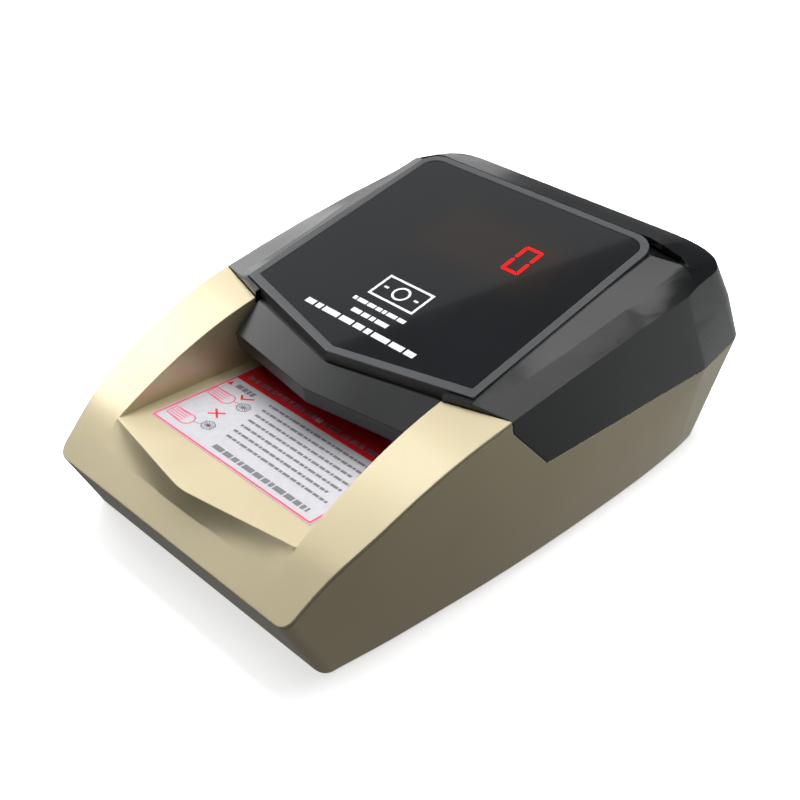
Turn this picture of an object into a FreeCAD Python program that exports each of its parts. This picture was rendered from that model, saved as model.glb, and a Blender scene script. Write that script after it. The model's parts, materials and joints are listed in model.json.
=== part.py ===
import FreeCAD
import Part
import math
import os
from FreeCAD import Vector

# Countertop counterfeit bill detector. Millimetres, +Z up, X across, Y from the
# note tray (front) to the note exit (rear). Pieces are drawn with y = 0 on the
# front edge and z = 0 under the base shell, and moved to the row frame on export.

# ---- overall shell ---------------------------------------------------------
FOOT_HEIGHT = 1.5          # rubber feet below the base shell
WALL = 2.2                 # shell thickness
SEAM = 0.3                 # visible gap between neighbouring mouldings
LID_TOP = 90.0             # plane above everything, where the side walls are cut off
REAR_Y = 207.0             # widest point of the rear wall
HINGE_Y = 207.2            # cover hinge axis, just outside the rear wall
HINGE_Z = 31.0
KNUCKLE_R = 2.4
PIN_R = 1.0
BASE_KNUCKLE_XS = (50.0, 55.2)
COVER_KNUCKLE_XS = (55.6, 60.0)
KNUCKLE_CLEAR = 0.4
BODY_LENGTH = HINGE_Y + KNUCKLE_R
HALF_BOX = 80.0            # half width of cutting solids, wider than the body

# ---- right-hand outlines of the body, front corner to rear corner -----------
# Each row is one station: bottom edge (x, y), widest line (x, y, z), how far the
# upper wall leans in per millimetre of height, and the soft crease between them
# as (fraction of the way up, bulge).
STATIONS = [
    ((56.8, 15.9), (55.1, 4.6, 26.6), 0.010, (0.50, 0.0)),
    ((58.4, 25.0), (57.5, 16.0, 29.6), 0.020, (0.45, 0.1)),
    ((60.0, 35.0), (60.1, 28.0, 32.7), 0.035, (0.36, 0.3)),
    ((61.8, 49.0), (62.1, 43.0, 34.8), 0.048, (0.34, 0.6)),
    ((64.1, 68.0), (64.6, 68.0, 35.6), 0.060, (0.36, 0.9)),
    ((66.4, 93.0), (66.6, 95.0, 35.3), 0.080, (0.42, 1.0)),
    ((68.0, 120.0), (68.2, 120.0, 34.7), 0.097, (0.50, 1.0)),
    ((68.9, 146.0), (69.4, 146.0, 33.7), 0.113, (0.60, 0.7)),
    ((68.5, 170.0), (70.6, 175.5, 32.0), 0.126, (0.88, 0.1)),
]
FRONT_CREST = (54.0, 0.0, 25.2)      # front corner of the widest line
FRONT_BOTTOM = (55.9, 11.3, 0.0)     # front corner of the bottom edge
CORNER_R = 4.0                       # front vertical corners
REAR_CREST = (67.4, REAR_Y, 31.2, 8.0)    # x, y, z and corner radius
REAR_BOTTOM = (67.8, 184.0, 0.0, 6.0)
REAR_TOP = (62.8, 177.5, LID_TOP, 14.0)
REAR_BELLY = (66.4, 199.6, 50.0, 10.5)    # the rear corner swells between the two
BELLY_SHARE = 0.32                   # height of that section between crest and top

# ---- side view: arch of the rails and the note tray --------------------------
ARCH = [
    (-8.0, 18.5), (0.0, 25.2), (8.0, 31.6), (16.0, 37.2), (25.0, 41.9), (35.0, 46.3),
    (45.0, 50.0), (55.0, 53.0), (65.0, 55.3), (74.0, 56.8), (82.0, 57.8), (92.0, 58.8),
]
RIM = 1.0                  # how much of the front cover shows on the side
TRAY_HALF = 42.0           # a 77 mm note with 3.5 mm to spare on each side
TRAY_Z0 = 38.65            # tray plane: height at y = 0
TRAY_FALL = 0.077          # and its fall towards the slot
LIP_APEX_Y = 8.5
LIP_END_Y = 15.9
LIP_ROUND = 2.5            # the lip's point is rounded
LIP_CLEAR_Z = 39.5         # above the lip
LIP_UNDERSIDE = [(13.6, 31.4), (9.4, 28.6)]
SCOOP_Y = 7.3              # straight crease between the front bar and the scoop
SCOOP_HOLLOW = 0.3
SCOOP_FADE = 8.0           # the scoop runs out over this distance at its ends
SCOOP_STEPS = 6
SCOOP_XS = [-42.0, -40.0, -37.5, -35.0, -32.5, -30.0, -25.0, -18.0, -10.0, -4.0, -1.5,
            1.5, 4.0, 10.0, 18.0, 25.0, 30.0, 32.5, 35.0, 37.5, 40.0, 42.0]
DECK_SEAM_INNER = (TRAY_HALF, 73.7)  # plan line between gold deck and black cover
DECK_SEAM_OUTER = (63.6, 79.6)
SIDE_SEAM = [(80.0, 54.5), (80.4, 53.0), (95.0, 35.3)]
SHOULDER_Z = 56.8          # the black cover reaches forward over the rails above this

# ---- black cover ---------------------------------------------------------------
PANEL_SLOPE = math.tan(math.radians(9.87))
PANEL_Y = 80.8
PANEL_Z = 60.6
BEZEL_HALF = 50.6
BEZEL_CORNER_Y = 78.0
BEZEL_APEX_Y = 66.9
BEZEL_REAR_Y = 168.4
BEZEL_R = 8.5
BEZEL_THICK = 4.2
BEZEL_RIM = 2.9
WINDOW_RECESS = 0.25
WINDOW_THICK = 2.0
# Cross-sections of the cover top: y, how far the strip beside the bezel starts under
# the bezel's top, the soft ridge beside the strip (x, z) and the outer edge (x, z).
COVER_SECTIONS = [
    (66.0, 0.9, (54.6, 57.6), (63.8, 55.9)),
    (80.0, 0.6, (55.0, 58.9), (64.2, 57.4)),
    (95.0, 0.4, (56.0, 60.3), (64.6, 59.1)),
    (113.0, 0.3, (57.2, 62.2), (65.4, 60.8)),
    (140.0, 0.4, (58.8, 66.1), (66.0, 62.9)),
    (169.5, 1.6, (60.4, 69.7), (66.2, 64.6)),
]
# Rear rim: y, then the points (x, z) of its section from the flat middle outward.
RIM_SECTIONS = [
    (169.5, [(46.0, 75.3), (50.5, 74.4), (55.5, 71.9), (60.4, 69.7), (66.2, 64.6)]),
    (179.0, [(45.5, 72.3), (50.5, 71.6), (55.5, 69.8), (60.4, 67.9), (66.2, 64.3)]),
    (189.0, [(44.0, 68.4), (50.0, 68.0), (55.5, 67.0), (60.4, 65.6), (66.2, 63.4)]),
    (214.0, [(44.0, 60.0), (50.0, 59.6), (55.5, 58.6), (60.4, 57.2), (66.2, 55.0)]),
]
# Floor of the dark recess between the bezel's rear corner and the rim (x, y, z).
RECESS = [
    (47.0, 159.7, 75.0), (61.7, 171.7, 69.3), (56.4, 173.4, 68.6),
    (50.4, 170.4, 71.2), (42.5, 169.7, 72.6),
]
WIDE_X = 76.0

# ---- nose over the note mouth ------------------------------------------------
NOSE_APEX = (56.7, 49.2)
NOSE_CORNER = (39.6, 62.4, 49.2)
NOSE_CHAMFER = (41.4, 65.4, 47.6)
NOSE_BROW_APEX_Y = 65.9
NOSE_BROW_Z = 54.6
NOSE_BROW_CORNER = (41.4, 74.3, 56.2)
NOSE_SOLE_Z = 43.3
NOSE_BACK_Y = 79.0
NOSE_BACK_Z = 37.2

# ---- note path and feed rollers -------------------------------------------------
PATH_Z = 32.0              # top of the lower guide
PATH_GAP = 3.0             # to the upper guide
GUIDE_THICK = 2.0
GUIDE_HALF = 46.0
GUIDE_FRONT_Y = 78.4
GUIDE_REAR_Y = 203.0
FRONT_FEED_Y = 100.0
REAR_FEED_Y = 165.0
DRIVE_R = 8.0
DRIVE_PROUD = 0.8
DRIVE_Z = PATH_Z + DRIVE_PROUD - DRIVE_R
PINCH_R = 6.0
NIP = 0.2                  # left for the note
PINCH_Z = PATH_Z + DRIVE_PROUD + NIP + PINCH_R
ROLLER_X = 25.0
ROLLER_WIDTH = 12.0
HUB_R = 5.0                # drive shafts are thicker inside their rollers
SHAFT_R = 2.5
PINCH_SHAFT_R = 1.5
SHAFT_FIT = 0.05           # radial running clearance
BRACKET_X = 48.6
BRACKET_THICK = 2.4
BRACKET_TOP = 29.6
BUSH_R = 4.2
PULLEY_X = 52.6
PULLEY_WIDTH = 6.0
FEED_PULLEY_R = 8.1
MOTOR_PULLEY_R = 4.5
BELT_GAP = 0.15
BELT_THICK = 1.1
FLANGE = 1.0
MOTOR_Y = 132.5
MOTOR_Z = 15.0
MOTOR_R = 12.0
MOTOR_LENGTH = 36.0
MOTOR_SHAFT_R = 1.15

# ---- base fittings -------------------------------------------------------------
FLOOR = 2.2
CELL_R = 9.1
CELL_LENGTH = 65.0
CELL_YS = (31.5, 51.0)
CELL_Z = 12.2
DOOR_HALF_X = 37.0
DOOR_Y = (20.0, 62.0)
SPEAKER_R = 13.5
SPEAKER_Y = 77.0
PORT_Y = (112.0, 172.0)    # port plate in the left wall
PORT_Z = (7.0, 26.0)
PORT_FACE_X = -67.0
PORT_MID_Z = 16.5
ROCKER_Y = 157.0
JACK_Y = 138.0
BUTTON_Y = 122.0
JACK_R = 4.6
JACK_BORE_R = 2.85
ROCKER_SIZE = (8.4, 13.4)  # along Z and Y
ROCKER_TILT = 8.0
ROCKER_PIVOT_R = 0.9
ROCKER_PIVOT_X = PORT_FACE_X + 3.0
BUTTON_R = 3.6
FOOT_SPOTS = [(46.0, 24.0), (54.0, 168.0)]
FOOT_R = 5.0
SCREW_SPOTS = [(49.0, 40.0), (55.0, 150.0)]
DISPLAY_Y = 136.0
DIGIT_XS = (20.0, 7.3, -5.4)
DIGIT_SIZE = (12.6, 19.0)


def box(x0, x1, y0, y1, z0, z1):
    return Part.makeBox(x1 - x0, y1 - y0, z1 - z0, Vector(x0, y0, z0))


def rod_x(radius, x0, x1, y, z):
    return Part.makeCylinder(radius, x1 - x0, Vector(x0, y, z), Vector(1, 0, 0))


def rod_z(radius, x, y, z0, z1):
    return Part.makeCylinder(radius, z1 - z0, Vector(x, y, z0), Vector(0, 0, 1))


def tube_x(outer, inner, x0, x1, y, z):
    return rod_x(outer, x0, x1, y, z).cut(rod_x(inner, x0 - 1, x1 + 1, y, z))


def both_sides(shape):
    """A piece and its mirror image in the plane x = 0."""
    return [shape, shape.mirror(Vector(0, 0, 0), Vector(1, 0, 0))]


def group(shapes):
    return Part.makeCompound(shapes)


def prism_x(points, x0, x1):
    """Side-view polygon of (y, z) points, extruded across."""
    wire = Part.makePolygon([Vector(x0, y, z) for y, z in points + points[:1]])
    return Part.Face(wire).extrude(Vector(x1 - x0, 0, 0))


def prism_z(points, z0, z1):
    """Plan polygon of (x, y) points, extruded upwards."""
    wire = Part.makePolygon([Vector(x, y, z0) for x, y in points + points[:1]])
    return Part.Face(wire).extrude(Vector(0, 0, z1 - z0))


def polyhedron(points, faces):
    """Closed solid from named corners; each face is a tuple of corner names."""
    made = []
    for face in faces:
        corners = [Vector(*points[name]) for name in face]
        made.append(Part.Face(Part.makePolygon(corners + corners[:1])))
    return Part.Solid(Part.Shell(made))


def curve(points):
    spline = Part.BSplineCurve()
    spline.interpolate([Vector(*p) for p in points])
    return spline.toShape()


# ---- shell body ------------------------------------------------------------------

def closed_ring(front, side, rear):
    """Closed outline from its right half: front corner, side points, rear corner.

    front is (x, y, z) of the unrounded front corner and rear is (x, y, z, radius).
    """
    fx, fy, fz = front
    rx, ry, rz, radius = rear
    rounding = 1.0 - math.sqrt(0.5)
    first = side[0]
    corner = [
        (fx - CORNER_R, fy, fz),
        (fx - 0.3 * rounding * CORNER_R, fy + rounding * CORNER_R, fz + 0.3 * (first[2] - fz)),
        first,
    ]
    shoulder = (rx, ry - radius, rz)
    turn = [
        shoulder,
        (rx - rounding * radius, ry - rounding * radius, rz),
        (rx - radius, ry, rz),
    ]

    def flip(points):
        return [(-x, y, z) for x, y, z in reversed(points)]

    runs = [[flip(corner)[-1], corner[0]], corner, side, [side[-1], shoulder], turn]
    runs.append([turn[-1], flip(turn)[0]])
    runs += [flip(turn), flip([side[-1], shoulder]), flip(side), flip(corner)]
    edges = []
    for run in runs:
        if len(run) == 2:
            edges.append(Part.makeLine(Vector(*run[0]), Vector(*run[1])))
        else:
            edges.append(curve(run))
    return Part.Wire(edges)


def mix(a, b, t):
    return tuple(p + (q - p) * t for p, q in zip(a, b))


def body_block():
    """Solid inside the body's outer walls, from the bottom edge up to LID_TOP."""
    bottom = [(x, y, 0.0) for (x, y), crest, lean, soft in STATIONS]
    crest = [point for low, point, lean, soft in STATIONS]
    soft_line = []
    for low, (x, y, z), lean, (share, bulge) in STATIONS:
        px, py, pz = mix((low[0], low[1], 0.0), (x, y, z), share)
        soft_line.append((px + bulge, py, pz))
    top = []
    for low, (x, y, z), lean, soft in STATIONS:
        rear_pull = max(0.0, y - 120.0) * 0.4
        top.append((x - lean * (LID_TOP - z), y - rear_pull, LID_TOP))
    belly = [mix(a, b, BELLY_SHARE) for a, b in zip(crest, top)]
    front_top = (FRONT_CREST[0], FRONT_CREST[1], LID_TOP)
    rings = [
        closed_ring(FRONT_BOTTOM, bottom, REAR_BOTTOM),
        closed_ring(mix(FRONT_BOTTOM, FRONT_CREST, 0.5), soft_line, mix(REAR_BOTTOM, REAR_CREST, 0.5)),
        closed_ring(FRONT_CREST, crest, REAR_CREST),
        closed_ring(mix(FRONT_CREST, front_top, BELLY_SHARE), belly, REAR_BELLY),
        closed_ring(front_top, top, REAR_TOP),
    ]
    faces = []
    for lower, upper in zip(rings, rings[1:]):
        for low_edge, high_edge in zip(lower.Edges, upper.Edges):
            faces.append(Part.makeRuledSurface(low_edge, high_edge))
    faces.append(Part.Face(rings[0]))
    faces.append(Part.Face(rings[-1]))
    shell = Part.makeCompound(faces)
    shell.sewShape()
    solid = Part.Solid(Part.Shell(shell.Faces))
    if solid.Volume < 0:
        solid.reverse()
    return solid


def inset_block(block, inset):
    """The body block drawn in by about inset on every wall."""
    half_x = STATIONS[-1][1][0]
    half_y = REAR_Y / 2.0
    matrix = FreeCAD.Matrix()
    matrix.scale(1.0 - inset / half_x, 1.0 - inset / half_y, 1.0)
    matrix.move(Vector(0, inset, 0))
    return block.transformGeometry(matrix)


def arch_band(low, high):
    """Everything between the rail arch shifted by low and by high."""
    def lifted(shift):
        spline = Part.BSplineCurve()
        spline.interpolate([Vector(-HALF_BOX, y, z + shift) for y, z in ARCH])
        return spline.toShape()
    lower = lifted(low)
    upper = lifted(high)
    face = Part.makeRuledSurface(lower, upper)
    return face.extrude(Vector(2 * HALF_BOX, 0, 0))


def arch_z(y):
    spline = Part.BSplineCurve()
    spline.interpolate([Vector(0, py, pz) for py, pz in ARCH])
    hit = spline.toShape().distToShape(Part.makeLine(Vector(0, y, 0), Vector(0, y, LID_TOP)))
    return hit[1][0][0].z


def seam_line(shift):
    """Side view of the parting between base and black cover, moved back by shift."""
    slanted = [(y + shift, z) for y, z in SIDE_SEAM]
    crest = [(y, z + shift) for low, (x, y, z), lean, soft in STATIONS if y > SIDE_SEAM[-1][0]]
    tail = [(REAR_Y - 7.0, REAR_CREST[2] + shift), (REAR_Y + 8.0, REAR_CREST[2] + shift)]
    return slanted + crest + tail


def behind_seam(shift):
    """Region of the black cover: behind the slanted seam and above the widest line."""
    line = seam_line(shift)
    start = (line[0][0], LID_TOP + 10.0)
    return prism_x([start] + line + [(line[-1][0], LID_TOP + 10.0)], -HALF_BOX, HALF_BOX)


def plan_behind_deck(shift):
    """Region behind the plan line between the gold deck and the black cover."""
    ix, iy = DECK_SEAM_INNER
    ox, oy = DECK_SEAM_OUTER
    wide_y = oy + (HALF_BOX - ox) * (oy - iy) / (ox - ix)
    right = [(ix, iy + shift), (HALF_BOX, wide_y + shift), (HALF_BOX, REAR_Y + 10.0)]
    left = [(-x, y) for x, y in reversed(right)]
    return prism_z(right + left, -5.0, LID_TOP + 10.0)


def tray_z(y):
    return TRAY_Z0 - TRAY_FALL * y


def below_tray(drop):
    """Everything under the tray plane, lowered by drop."""
    ends = (-5.0, 90.0)
    points = [(ends[0], -5.0), (ends[1], -5.0)]
    points += [(y, tray_z(y) - drop) for y in reversed(ends)]
    return prism_x(points, -HALF_BOX, HALF_BOX)


def knuckle_gap(x0, x1):
    """Room that one half's shell leaves for a knuckle of the other half."""
    return rod_x(KNUCKLE_R + KNUCKLE_CLEAR, x0 - KNUCKLE_CLEAR, x1 + KNUCKLE_CLEAR, HINGE_Y, HINGE_Z)


def make_base_shell(outer, inner):
    line = seam_line(-SEAM / 2)
    split_y = line[0][0]
    front = arch_band(-LID_TOP, -RIM - SEAM).cut(box(-HALF_BOX, HALF_BOX, split_y, 300, -90, 190))
    rear = prism_x([(split_y, -5.0)] + line + [(line[-1][0], -5.0)], -HALF_BOX, HALF_BOX)
    region = front.fuse(rear)
    cavity = inner.common(box(-HALF_BOX, HALF_BOX, -5, 300, FLOOR, 200))
    shell = outer.cut(cavity).common(region)
    shell = shell.cut(box(-DOOR_HALF_X - SEAM, DOOR_HALF_X + SEAM, DOOR_Y[0] - SEAM,
                          DOOR_Y[1] + SEAM, -1, FLOOR + 1))
    shell = shell.cut(box(-HALF_BOX, -50, PORT_Y[0] - SEAM, PORT_Y[1] + SEAM,
                          PORT_Z[0] - SEAM, PORT_Z[1] + SEAM))
    for index in range(8):
        angle = index * math.pi / 4
        spot = (7.5 * math.cos(angle), SPEAKER_Y + 7.5 * math.sin(angle))
        shell = shell.cut(rod_z(1.25, spot[0], spot[1], -1, FLOOR + 1))
    for x, y in SCREW_SPOTS:
        for side in (-1, 1):
            shell = shell.cut(rod_z(1.6, side * x, y, -1, FLOOR + 1))
    for side in (-1, 1):
        x0, x1 = sorted(side * x for x in COVER_KNUCKLE_XS)
        cover_gap = knuckle_gap(x0, x1)
        x0, x1 = sorted(side * x for x in BASE_KNUCKLE_XS)
        knuckle = tube_x(KNUCKLE_R, PIN_R, x0, x1, HINGE_Y, HINGE_Z)
        web = box(x0, x1, HINGE_Y - 5.5, HINGE_Y - 1.2, HINGE_Z - 3.0, HINGE_Z - 0.2)
        shell = shell.cut(cover_gap).fuse(knuckle.fuse(web))
        shell = shell.cut(rod_x(PIN_R, x0 - 8, x1 + 8, HINGE_Y, HINGE_Z))
    return shell


def scoop_section(x):
    """Hollow under the lip at x: (y, z) points from the crease on the front bar to the lip edge."""
    away = math.hypot(x, LIP_ROUND) - LIP_ROUND
    share = away / (math.hypot(TRAY_HALF, LIP_ROUND) - LIP_ROUND)
    lip_y = LIP_APEX_Y + (LIP_END_Y - LIP_APEX_Y) * share
    crease = (SCOOP_Y, arch_z(SCOOP_Y))
    fade = min(1.0, max(0.0, (TRAY_HALF - abs(x)) / SCOOP_FADE))
    points = []
    for step in range(SCOOP_STEPS + 1):
        along = step / SCOOP_STEPS
        hollow = SCOOP_HOLLOW * math.sin(math.pi * along)
        y, z = mix(crease, (lip_y, tray_z(lip_y)), along)
        points.append(mix((y, arch_z(y)), (y + hollow, z - hollow), fade))
    points[-1] = (lip_y, tray_z(lip_y))
    return points


def lip_and_scoop():
    """Front lip of the tray as a solid rib, and the hollow to cut from the bar before it."""
    solid_wires = []
    hollow_wires = []
    back_y = LIP_END_Y + 1.6
    for x in SCOOP_XS:
        path = scoop_section(x)
        under = [(back_y, tray_z(back_y)), (back_y, tray_z(back_y) - WALL)] + LIP_UNDERSIDE
        over = [(path[-1][0], LIP_CLEAR_Z), (SCOOP_Y, LIP_CLEAR_Z)]
        for wires, rest in ((solid_wires, under), (hollow_wires, over)):
            ring = path + rest
            wires.append(Part.makePolygon([Vector(x, y, z) for y, z in ring + ring[:1]]))
    return Part.makeLoft(solid_wires, True, True), Part.makeLoft(hollow_wires, True, True)


def make_front_cover(outer, inner):
    """Gold deck: rail tops, front bar, tray walls, sloping tray floor and lip."""
    ahead = box(-HALF_BOX, HALF_BOX, -5, 300, -5, 200).cut(plan_behind_deck(-SEAM / 2))
    skin = outer.common(arch_band(-RIM, 0.0))
    inner_skin = inner.common(arch_band(-WALL - 0.4, 0.0))
    deck = skin.fuse(inner_skin).common(ahead)
    walls = box(-TRAY_HALF - WALL, TRAY_HALF + WALL, LIP_END_Y, DECK_SEAM_INNER[1] - SEAM / 2, 20, 90)
    walls = walls.common(arch_band(-LID_TOP, 0.0))
    deck = deck.fuse(walls.cut(below_tray(WALL)))
    above = box(-TRAY_HALF, TRAY_HALF, -5, 95, 0, 95).cut(below_tray(0.0))
    deck = deck.cut(above)
    under = box(-TRAY_HALF, TRAY_HALF, LIP_END_Y, 95, 0, 95).common(below_tray(WALL))
    deck = deck.cut(under.common(box(-HALF_BOX, HALF_BOX, LIP_END_Y + 5.0, 95, 0, 95)))
    ledge = box(-TRAY_HALF - WALL, TRAY_HALF + WALL,
                DECK_SEAM_INNER[1] - 2.0, GUIDE_FRONT_Y - 0.6, 0, LID_TOP)
    ledge = ledge.common(below_tray(0.0)).cut(below_tray(WALL))
    lip, scoop = lip_and_scoop()
    return deck.cut(scoop).fuse(ledge).fuse(lip).removeSplitter()


def panel_z(y):
    return PANEL_Z + (y - PANEL_Y) * PANEL_SLOPE


def section_wire(y, centre_z, points):
    """Symmetric cross-section at y: flat middle, then (x, z) points, down to a deep base."""
    right = [(points[0][0], centre_z)] + list(points)
    low = 20.0
    right.append((points[-1][0], low))
    whole = right + [(-x, z) for x, z in reversed(right)]
    return Part.makePolygon([Vector(x, y, z) for x, z in whole + whole[:1]])


def stretch(a, b, x):
    """Point at x on the line through a and b."""
    return (x, a[1] + (b[1] - a[1]) * (x - a[0]) / (b[0] - a[0]))


def corner_recess(side):
    """Sunken corner between the bezel, the side strip and the rear rim, open above."""
    floor = [Vector(side * x, y, z) for x, y, z in RECESS]
    roof = [Vector(point.x, point.y, LID_TOP) for point in floor]
    faces = [Part.Face(Part.makePolygon(roof + roof[:1]))]
    for i in range(len(floor)):
        j = (i + 1) % len(floor)
        faces.append(Part.Face(Part.makePolygon([floor[i], floor[j], roof[j], roof[i], floor[i]])))
    for i in range(1, len(floor) - 1):
        faces.append(Part.Face(Part.makePolygon([floor[0], floor[i], floor[i + 1], floor[0]])))
    solid = Part.makeSolid(Part.makeShell(faces))
    if solid.Volume < 0:
        solid.reverse()
    return solid


def cover_top():
    """Everything under the sloping top of the black cover."""
    wires = []
    for y, drop, ridge, edge in COVER_SECTIONS:
        foot = panel_z(y) - drop
        outer = stretch(ridge, edge, WIDE_X)
        wires.append(section_wire(y, foot, [(BEZEL_HALF + 0.6, foot - 0.2), ridge, outer]))
    top = Part.makeLoft(wires, True, True)
    wires = []
    for y, points in RIM_SECTIONS:
        outer = stretch(points[-2], points[-1], WIDE_X)
        wires.append(section_wire(y, points[0][1], points[:-1] + [outer]))
    top = top.fuse(Part.makeLoft(wires, True, True))
    return top.cut(corner_recess(1)).cut(corner_recess(-1))


def bezel_outline(grow):
    """Plan wire of the bezel: V-shaped front edge and rounded rear corners."""
    half = BEZEL_HALF + grow
    rear = BEZEL_REAR_Y + grow
    corner_y = BEZEL_CORNER_Y - grow
    apex_y = BEZEL_APEX_Y - grow * 1.05
    radius = BEZEL_R + grow
    bend = radius * (1.0 - math.sqrt(0.5))
    p = {
        "apex": Vector(0, apex_y, 0), "right": Vector(half, corner_y, 0),
        "r1": Vector(half, rear - radius, 0), "r2": Vector(half - bend, rear - bend, 0),
        "r3": Vector(half - radius, rear, 0), "l3": Vector(radius - half, rear, 0),
        "l2": Vector(bend - half, rear - bend, 0), "l1": Vector(-half, rear - radius, 0),
        "left": Vector(-half, corner_y, 0),
    }
    return Part.Wire([
        Part.makeLine(p["apex"], p["right"]), Part.makeLine(p["right"], p["r1"]),
        Part.Arc(p["r1"], p["r2"], p["r3"]).toShape(), Part.makeLine(p["r3"], p["l3"]),
        Part.Arc(p["l3"], p["l2"], p["l1"]).toShape(), Part.makeLine(p["l1"], p["left"]),
        Part.makeLine(p["left"], p["apex"]),
    ])


def panel_slab(top, bottom):
    """Tilted layer between two depths measured straight down from the panel plane."""
    ends = (55.0, 195.0)
    points = [(y, panel_z(y) - bottom) for y in ends] + [(y, panel_z(y) - top) for y in reversed(ends)]
    return prism_x(points, -HALF_BOX, HALF_BOX)


def panel_piece(grow, top, bottom):
    column = Part.Face(bezel_outline(grow)).extrude(Vector(0, 0, 120))
    return column.common(panel_slab(top, bottom))


def make_bezel():
    """Grey frame round the display window, with a shelf that the window rests on."""
    slab = panel_piece(0.0, 0.0, BEZEL_THICK)
    slab = slab.cut(panel_piece(-BEZEL_RIM + 0.1, -1.0, WINDOW_RECESS + WINDOW_THICK))
    return slab.cut(panel_piece(-BEZEL_RIM - 4.0, -1.0, BEZEL_THICK + 1.0))


def make_window():
    return panel_piece(-BEZEL_RIM, WINDOW_RECESS, WINDOW_RECESS + WINDOW_THICK)


def make_rear_cover(outer, inner):
    """Black upper shell: walls, sloping side strips, rear rim and exit slot."""
    top = cover_top()
    shoulder = box(-HALF_BOX, HALF_BOX, 60, 81, SHOULDER_Z, LID_TOP)
    shoulder = shoulder.fuse(box(-60, 60, 60, 81, SHOULDER_Z - WALL, LID_TOP))
    region = behind_seam(SEAM / 2).fuse(shoulder).common(plan_behind_deck(SEAM / 2))
    shell = outer.common(top).common(region)
    drop = FreeCAD.Matrix()
    drop.move(Vector(0, 0, -WALL))
    hollow = top.transformGeometry(drop)
    hollow = inner.common(hollow).cut(box(-HALF_BOX, HALF_BOX, -5, 76, 0, 200))
    shell = shell.cut(hollow)
    shell = shell.cut(panel_piece(0.15, -20.0, BEZEL_THICK + 0.05))
    shell = shell.cut(panel_piece(-BEZEL_RIM - 4.0, -20.0, 60.0))
    shell = shell.cut(box(-TRAY_HALF - 0.2, TRAY_HALF + 0.2, 50, NOSE_BACK_Y + 1.0, 0, 200))
    shell = shell.cut(box(-TRAY_HALF - 1, TRAY_HALF + 1, 190, 230, PATH_Z - 1.5, PATH_Z + 5.0))
    for side in (-1, 1):
        x0, x1 = sorted(side * x for x in BASE_KNUCKLE_XS)
        shell = shell.cut(knuckle_gap(x0, x1))
        x0, x1 = sorted(side * x for x in COVER_KNUCKLE_XS)
        knuckle = rod_x(KNUCKLE_R, x0, x1, HINGE_Y, HINGE_Z)
        web = box(x0, x1, HINGE_Y - 5.5, HINGE_Y - 1.2, HINGE_Z + 0.4, HINGE_Z + 3.4)
        shell = shell.fuse(knuckle.fuse(web))
        shell = shell.cut(rod_x(PIN_R + SHAFT_FIT, x0 - 3, x1 + 1, HINGE_Y, HINGE_Z))
    return shell


def make_nose():
    """Faceted black hood over the note mouth, with the upper half of the funnel."""
    corner_x, corner_y, corner_z = NOSE_CORNER
    side_x, side_y, side_z = NOSE_CHAMFER
    brow_x, brow_y, brow_z = NOSE_BROW_CORNER
    back_top = panel_z(NOSE_BACK_Y) - BEZEL_THICK - 0.2
    points = {
        "apex": (0, NOSE_APEX[0], NOSE_APEX[1]),
        "brow": (0, NOSE_BROW_APEX_Y, NOSE_BROW_Z - 0.3),
        "sole": (0, NOSE_APEX[0] + 0.9, NOSE_SOLE_Z),
        "back": (0, NOSE_BACK_Y, back_top),
        "heel": (0, NOSE_BACK_Y, NOSE_BACK_Z),
    }
    for name, side in (("r", 1), ("l", -1)):
        points[name + "corner"] = (side * corner_x, corner_y, corner_z)
        points[name + "side"] = (side * side_x, side_y, side_z)
        points[name + "brow"] = (side * brow_x, brow_y, brow_z - 0.3)
        points[name + "back"] = (side * side_x, NOSE_BACK_Y, back_top)
        points[name + "sole"] = (side * corner_x, corner_y + 0.9, NOSE_SOLE_Z)
        points[name + "wing"] = (side * side_x, side_y + 0.6, NOSE_SOLE_Z)
        points[name + "heel"] = (side * side_x, NOSE_BACK_Y, NOSE_BACK_Z)
    right = [
        ("apex", "rcorner", "brow"), ("rcorner", "rbrow", "brow"), ("rcorner", "rside", "rbrow"),
        ("brow", "rbrow", "back"), ("rbrow", "rback", "back"),
        ("apex", "sole", "rcorner"), ("sole", "rsole", "rcorner"),
        ("rcorner", "rsole", "rside"), ("rsole", "rwing", "rside"),
        ("rside", "rwing", "rheel"), ("rside", "rheel", "rback"), ("rside", "rback", "rbrow"),
        ("sole", "heel", "rsole"), ("heel", "rheel", "rsole"), ("rsole", "rheel", "rwing"),
        ("back", "rback", "heel"), ("rback", "rheel", "heel"),
    ]

    def mirrored(name):
        return "l" + name[1:] if name.startswith("r") else name

    left = [tuple(mirrored(name) for name in reversed(face)) for face in right]
    return polyhedron(points, right + left).cut(panel_piece(0.1, -20.0, BEZEL_THICK + 0.05))


# ---- note path ---------------------------------------------------------------------

def roller_windows(y, radius, z0, z1):
    cuts = []
    for side in (-1, 1):
        middle = side * ROLLER_X
        half = ROLLER_WIDTH / 2 + 1.2
        cuts.append(box(middle - half, middle + half, y - radius, y + radius, z0, z1))
    return cuts


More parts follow.
